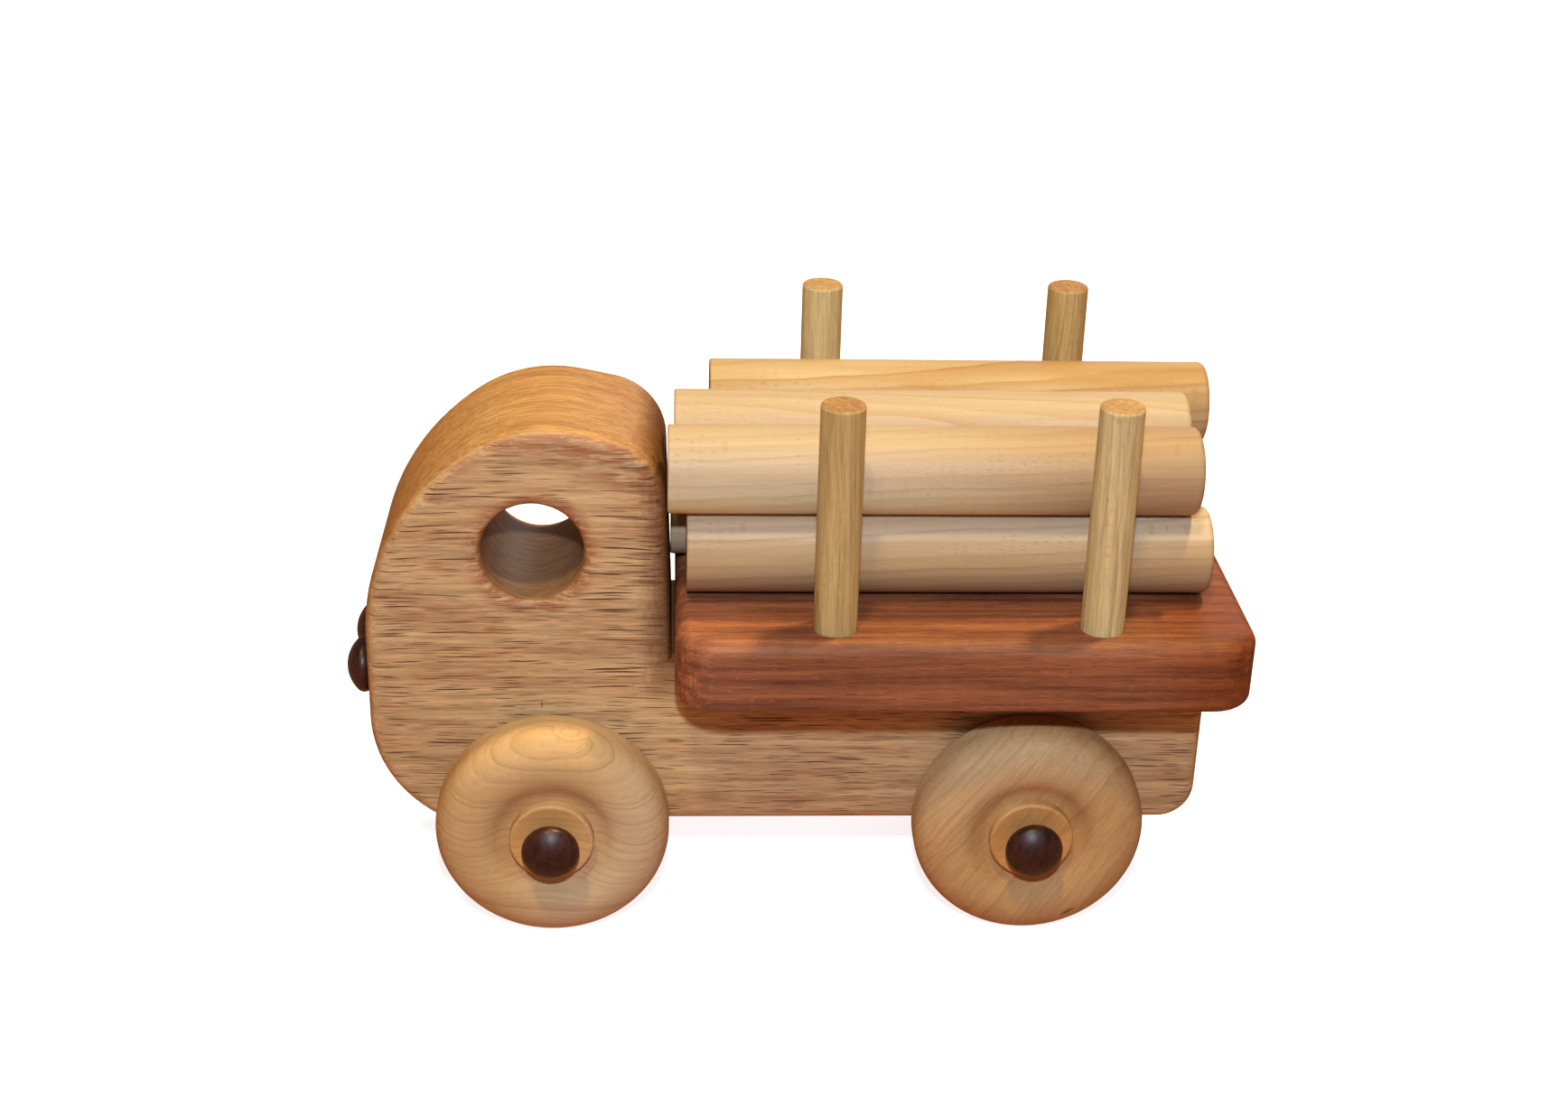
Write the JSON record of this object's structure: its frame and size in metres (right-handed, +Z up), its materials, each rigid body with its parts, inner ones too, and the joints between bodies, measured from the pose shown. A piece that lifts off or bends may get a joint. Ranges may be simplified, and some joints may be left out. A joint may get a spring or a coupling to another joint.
{
  "type": "toy log truck",
  "caption": "Wooden toy log truck with a one-piece cab and chassis, an overhanging flat bed with upright stakes holding loose logs, and wheels turning on ball-head pegs.",
  "frame": {"origin": "centre of the bounding box's bottom face, on the floor between the wheels", "axes": "+X towards the cab's front, +Y to the truck's left, +Z up"},
  "size_m": [0.2684, 0.12, 0.18],
  "materials": {
    "oak": "satin oil on open-pored oak",
    "bed_hardwood": "satin oil on reddish hardwood",
    "wheel_maple": "satin oil on turned maple",
    "log_wood": "satin oil on pale dowel",
    "stake_wood": "satin oil on tan dowel",
    "dark_peg_wood": "gloss lacquer on dark hardwood",
    "dowel_wood": "bare glue dowel"
  },
  "bodies": {
    "truck": {"cab_chassis_block": "oak", "flat_bed": "bed_hardwood", "stake_front_left": "stake_wood", "stake_front_right": "stake_wood", "stake_rear_left": "stake_wood", "stake_rear_right": "stake_wood", "axle_peg_front_left": "dark_peg_wood", "axle_peg_front_right": "dark_peg_wood", "axle_peg_rear_left": "dark_peg_wood", "axle_peg_rear_right": "dark_peg_wood", "headlight_peg_left": "dark_peg_wood", "headlight_peg_right": "dark_peg_wood", "bed_dowel_front": "dowel_wood", "bed_dowel_rear": "dowel_wood"},
    "wheel_front_left": {"wheel_front_left": "wheel_maple"},
    "wheel_front_right": {"wheel_front_right": "wheel_maple"},
    "wheel_rear_left": {"wheel_rear_left": "wheel_maple"},
    "wheel_rear_right": {"wheel_rear_right": "wheel_maple"},
    "log_lower_left": {"log_lower_left": "log_wood"},
    "log_lower_middle": {"log_lower_middle": "log_wood"},
    "log_lower_right": {"log_lower_right": "log_wood"},
    "log_upper_left": {"log_upper_left": "log_wood"},
    "log_upper_middle": {"log_upper_middle": "log_wood"},
    "log_upper_right": {"log_upper_right": "log_wood"}
  },
  "joints": [
    {"name": "wheel_front_left_spin", "type": "hinge", "parent": "truck", "child": "wheel_front_left", "pos_m": [0.0715, 0.0383, 0.0353], "axis": [0, 1, 0], "continuous": true},
    {"name": "wheel_front_right_spin", "type": "hinge", "parent": "truck", "child": "wheel_front_right", "pos_m": [0.0715, -0.0383, 0.0353], "axis": [0, 1, 0], "continuous": true},
    {"name": "wheel_rear_left_spin", "type": "hinge", "parent": "truck", "child": "wheel_rear_left", "pos_m": [-0.0737, 0.0383, 0.0353], "axis": [0, 1, 0], "continuous": true},
    {"name": "wheel_rear_right_spin", "type": "hinge", "parent": "truck", "child": "wheel_rear_right", "pos_m": [-0.0737, -0.0383, 0.0353], "axis": [0, 1, 0], "continuous": true},
    {"name": "log_lower_left_slide", "type": "slide", "parent": "truck", "child": "log_lower_left", "axis": [-1, 0, 0], "range_m": [0, 0.18]},
    {"name": "log_lower_middle_slide", "type": "slide", "parent": "truck", "child": "log_lower_middle", "axis": [-1, 0, 0], "range_m": [0, 0.18]},
    {"name": "log_lower_right_slide", "type": "slide", "parent": "truck", "child": "log_lower_right", "axis": [-1, 0, 0], "range_m": [0, 0.18]},
    {"name": "log_upper_left_slide", "type": "slide", "parent": "truck", "child": "log_upper_left", "axis": [-1, 0, 0], "range_m": [0, 0.18]},
    {"name": "log_upper_middle_slide", "type": "slide", "parent": "truck", "child": "log_upper_middle", "axis": [-1, 0, 0], "range_m": [0, 0.18]},
    {"name": "log_upper_right_slide", "type": "slide", "parent": "truck", "child": "log_upper_right", "axis": [-1, 0, 0], "range_m": [0, 0.18]}
  ]
}
